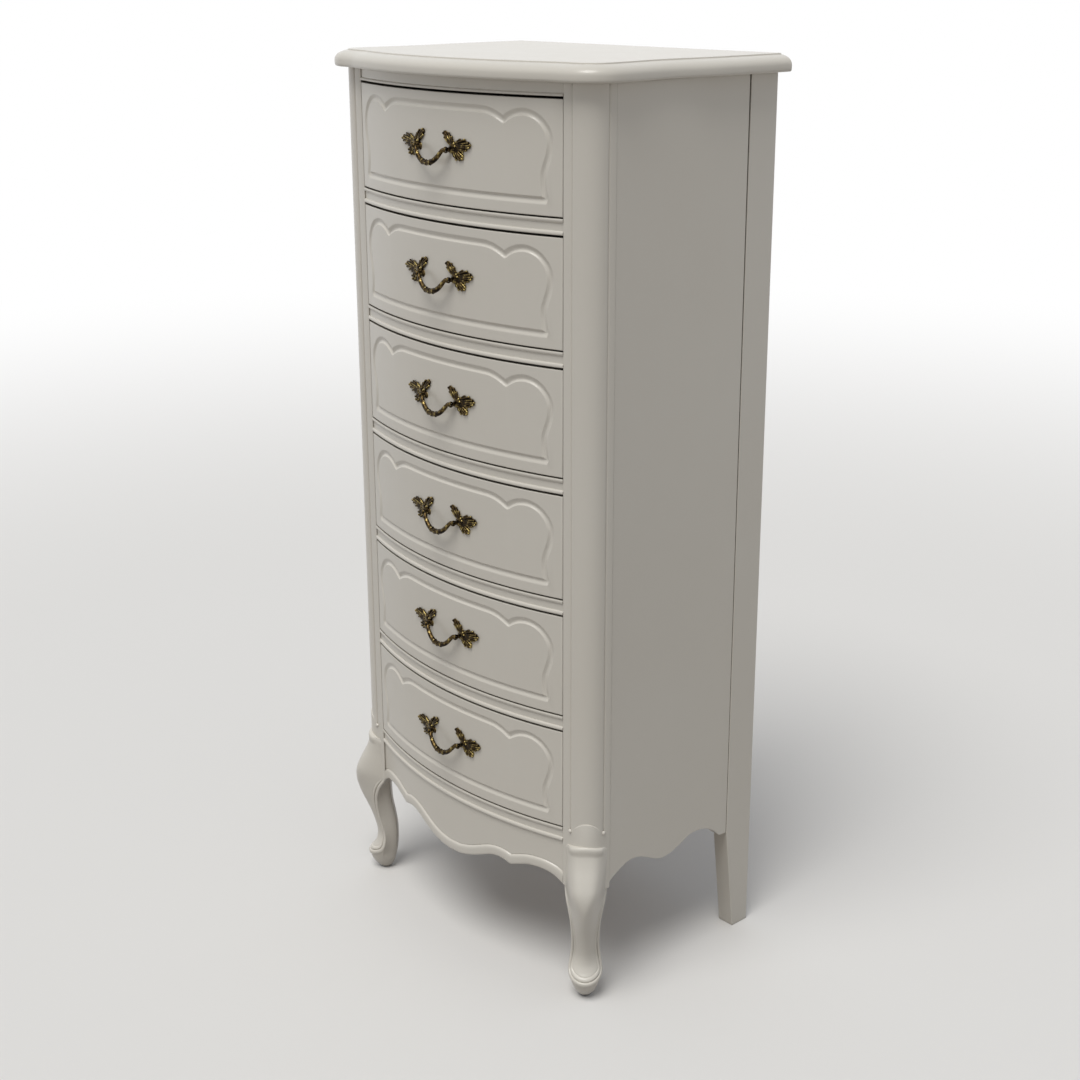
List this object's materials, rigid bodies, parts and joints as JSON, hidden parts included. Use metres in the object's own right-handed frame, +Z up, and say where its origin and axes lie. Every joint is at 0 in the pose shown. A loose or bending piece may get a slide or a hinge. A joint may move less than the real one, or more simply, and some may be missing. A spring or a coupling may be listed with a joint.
{
  "type": "semainier",
  "caption": "Tall narrow bow-front chest of stacked drawers on cabriole front legs, with a moulded top, scalloped apron and brass bail pulls.",
  "frame": {"origin": "on the floor, under the middle of the chest's width and depth", "axes": "+Z up, the drawers face -Y, +X to the right as one faces the drawers"},
  "size_m": [0.5754, 0.405, 1.33],
  "materials": {
    "painted_wood": "satin antique white paint over wood",
    "drawer_wood": "sanded bare wood",
    "thin_panel": "smooth brown fibreboard",
    "antique_brass": "darkened brass with rubbed bright edges"
  },
  "bodies": {
    "case": {"top_board": "painted_wood", "front_post_right": "painted_wood", "front_post_left": "painted_wood", "rear_post_right": "painted_wood", "rear_post_left": "painted_wood", "side_panel_right": "painted_wood", "side_panel_left": "painted_wood", "frieze_rail": "painted_wood", "bottom_rail": "painted_wood", "apron": "painted_wood", "drawer_rail_1": "painted_wood", "drawer_rail_2": "painted_wood", "drawer_rail_3": "painted_wood", "drawer_rail_4": "painted_wood", "drawer_rail_5": "painted_wood", "back_panel": "thin_panel", "back_rail_upper": "drawer_wood", "back_rail_lower": "drawer_wood", "dust_board_1": "drawer_wood", "dust_board_2": "drawer_wood", "dust_board_3": "drawer_wood", "dust_board_4": "drawer_wood", "dust_board_5": "drawer_wood", "dust_board_6": "drawer_wood"},
    "drawer_1": {"drawer_1_front": "painted_wood", "drawer_1_box": "drawer_wood", "drawer_1_bottom": "thin_panel", "drawer_1_rosette_right": "antique_brass", "drawer_1_rosette_left": "antique_brass"},
    "bail_1": {"drawer_1_bail": "antique_brass"},
    "drawer_2": {"drawer_2_front": "painted_wood", "drawer_2_box": "drawer_wood", "drawer_2_bottom": "thin_panel", "drawer_2_rosette_right": "antique_brass", "drawer_2_rosette_left": "antique_brass"},
    "bail_2": {"drawer_2_bail": "antique_brass"},
    "drawer_3": {"drawer_3_front": "painted_wood", "drawer_3_box": "drawer_wood", "drawer_3_bottom": "thin_panel", "drawer_3_rosette_right": "antique_brass", "drawer_3_rosette_left": "antique_brass"},
    "bail_3": {"drawer_3_bail": "antique_brass"},
    "drawer_4": {"drawer_4_front": "painted_wood", "drawer_4_box": "drawer_wood", "drawer_4_bottom": "thin_panel", "drawer_4_rosette_right": "antique_brass", "drawer_4_rosette_left": "antique_brass"},
    "bail_4": {"drawer_4_bail": "antique_brass"},
    "drawer_5": {"drawer_5_front": "painted_wood", "drawer_5_box": "drawer_wood", "drawer_5_bottom": "thin_panel", "drawer_5_rosette_right": "antique_brass", "drawer_5_rosette_left": "antique_brass"},
    "bail_5": {"drawer_5_bail": "antique_brass"},
    "drawer_6": {"drawer_6_front": "painted_wood", "drawer_6_box": "drawer_wood", "drawer_6_bottom": "thin_panel", "drawer_6_rosette_right": "antique_brass", "drawer_6_rosette_left": "antique_brass"},
    "bail_6": {"drawer_6_bail": "antique_brass"}
  },
  "joints": [
    {"name": "drawer_1_slide", "type": "slide", "parent": "case", "child": "drawer_1", "axis": [0, -1, 0], "range_m": [0, 0.25]},
    {"name": "bail_1_hinge", "type": "hinge", "parent": "drawer_1", "child": "bail_1", "pos_m": [0, -0.1915, 1.21145], "axis": [-1, 0, 0], "range_deg": [0, 85]},
    {"name": "drawer_2_slide", "type": "slide", "parent": "case", "child": "drawer_2", "axis": [0, -1, 0], "range_m": [0, 0.25]},
    {"name": "bail_2_hinge", "type": "hinge", "parent": "drawer_2", "child": "bail_2", "pos_m": [0, -0.1915, 1.03775], "axis": [-1, 0, 0], "range_deg": [0, 85]},
    {"name": "drawer_3_slide", "type": "slide", "parent": "case", "child": "drawer_3", "axis": [0, -1, 0], "range_m": [0, 0.25]},
    {"name": "bail_3_hinge", "type": "hinge", "parent": "drawer_3", "child": "bail_3", "pos_m": [0, -0.1915, 0.86405], "axis": [-1, 0, 0], "range_deg": [0, 85]},
    {"name": "drawer_4_slide", "type": "slide", "parent": "case", "child": "drawer_4", "axis": [0, -1, 0], "range_m": [0, 0.25]},
    {"name": "bail_4_hinge", "type": "hinge", "parent": "drawer_4", "child": "bail_4", "pos_m": [0, -0.1915, 0.69035], "axis": [-1, 0, 0], "range_deg": [0, 85]},
    {"name": "drawer_5_slide", "type": "slide", "parent": "case", "child": "drawer_5", "axis": [0, -1, 0], "range_m": [0, 0.25]},
    {"name": "bail_5_hinge", "type": "hinge", "parent": "drawer_5", "child": "bail_5", "pos_m": [0, -0.1915, 0.51665], "axis": [-1, 0, 0], "range_deg": [0, 85]},
    {"name": "drawer_6_slide", "type": "slide", "parent": "case", "child": "drawer_6", "axis": [0, -1, 0], "range_m": [0, 0.25]},
    {"name": "bail_6_hinge", "type": "hinge", "parent": "drawer_6", "child": "bail_6", "pos_m": [0, -0.1915, 0.34295], "axis": [-1, 0, 0], "range_deg": [0, 85]}
  ]
}
